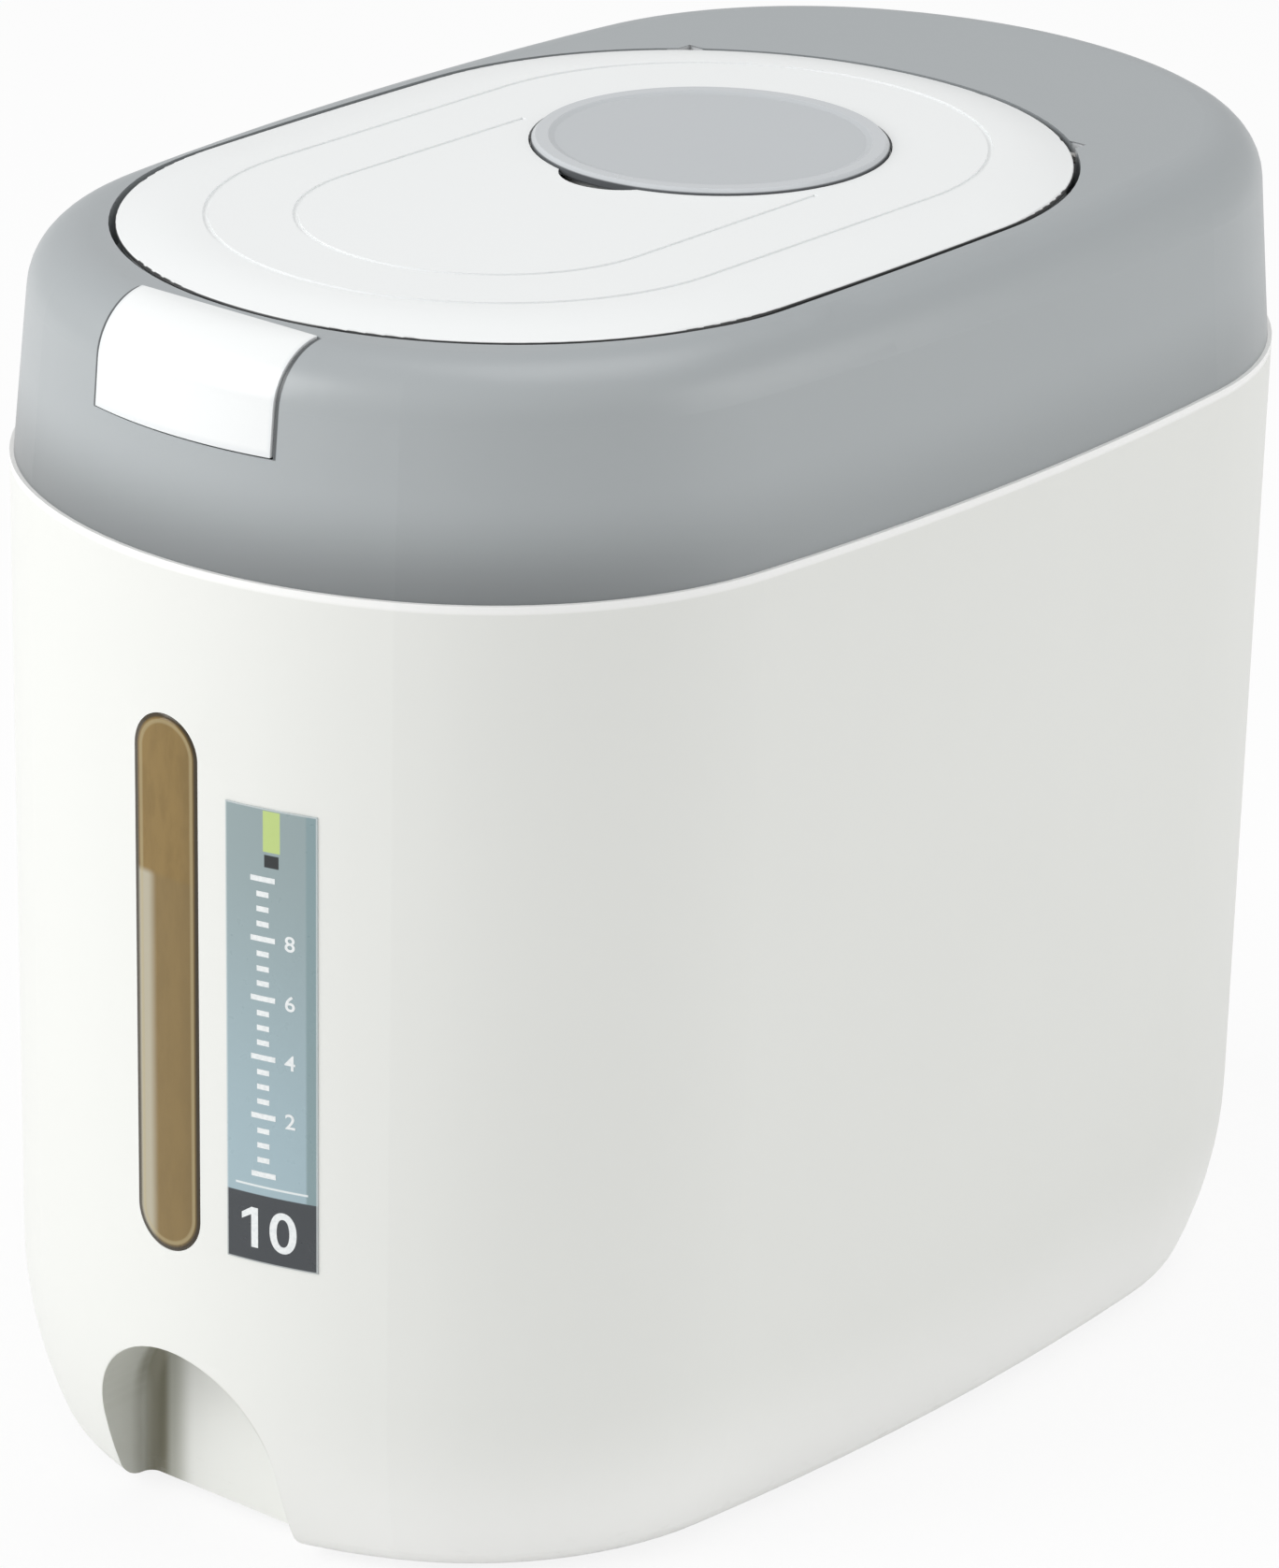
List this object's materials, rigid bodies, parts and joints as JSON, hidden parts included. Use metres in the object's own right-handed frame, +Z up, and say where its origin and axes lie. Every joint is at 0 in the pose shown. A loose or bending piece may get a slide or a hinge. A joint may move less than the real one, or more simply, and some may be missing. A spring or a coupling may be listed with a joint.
{
  "type": "rice storage bin",
  "caption": "Oval household rice bin: tub with sight window and handhold, clip-on cover frame, hinged lid with push latch, and a measuring cup kept in the lid.",
  "frame": {"origin": "on the floor under the middle of the bin", "axes": "+X to the right when facing the front, +Y from the front to the back along the bin's length, +Z up"},
  "size_m": [0.212, 0.34, 0.2979],
  "materials": {
    "tub": "fine satin moulded polypropylene",
    "window": "smoke tinted clear plastic, polished",
    "label": "printed clear film, satin",
    "cover": "satin grey moulded plastic",
    "lid": "smooth white moulded plastic",
    "lid_inner": "moulded white plastic",
    "gasket": "soft translucent silicone",
    "cup": "smooth light grey plastic",
    "button": "smooth white moulded plastic",
    "steel": "bright drawn steel wire",
    "wheel": "dark grey nylon",
    "foot": "soft black rubber"
  },
  "bodies": {
    "bin_body": {"tub": "tub", "sight_window": "window", "capacity_label": "label", "cover_frame": "cover", "latch_pin": "steel", "latch_spring": "steel", "hinge_pin_left": "steel", "hinge_pin_right": "steel", "lid_spring_left": "steel", "lid_spring_right": "steel", "wheel_axle_left": "steel", "wheel_axle_right": "steel", "front_foot_left": "foot", "front_foot_right": "foot"},
    "lid": {"lid_panel": "lid", "lid_inner": "lid_inner", "lid_gasket": "gasket"},
    "cup": {"measuring_cup": "cup"},
    "latch": {"latch_button": "button"},
    "wheel_left": {"rear_wheel_left": "wheel"},
    "wheel_right": {"rear_wheel_right": "wheel"}
  },
  "joints": [
    {"name": "lid_hinge", "type": "hinge", "parent": "bin_body", "child": "lid", "pos_m": [0, 0.08, 0.2915], "axis": [-1, 0, 0], "range_deg": [0, 90], "deforming": ["lid_spring_left", "lid_spring_right"]},
    {"name": "cup_lift", "type": "slide", "parent": "lid", "child": "cup", "axis": [0, 0, 1], "range_m": [0, 0.06]},
    {"name": "latch_press", "type": "hinge", "parent": "bin_body", "child": "latch", "pos_m": [0, -0.1525, 0.2885], "axis": [1, 0, 0], "range_deg": [0, 10], "stiffness_Nm_per_rad": 0.4, "deforming": ["latch_spring"]},
    {"name": "wheel_spin_left", "type": "hinge", "parent": "bin_body", "child": "wheel_left", "pos_m": [-0.052, 0.116, 0.009], "axis": [1, 0, 0], "continuous": true},
    {"name": "wheel_spin_right", "type": "hinge", "parent": "bin_body", "child": "wheel_right", "pos_m": [0.052, 0.116, 0.009], "axis": [1, 0, 0], "continuous": true}
  ]
}
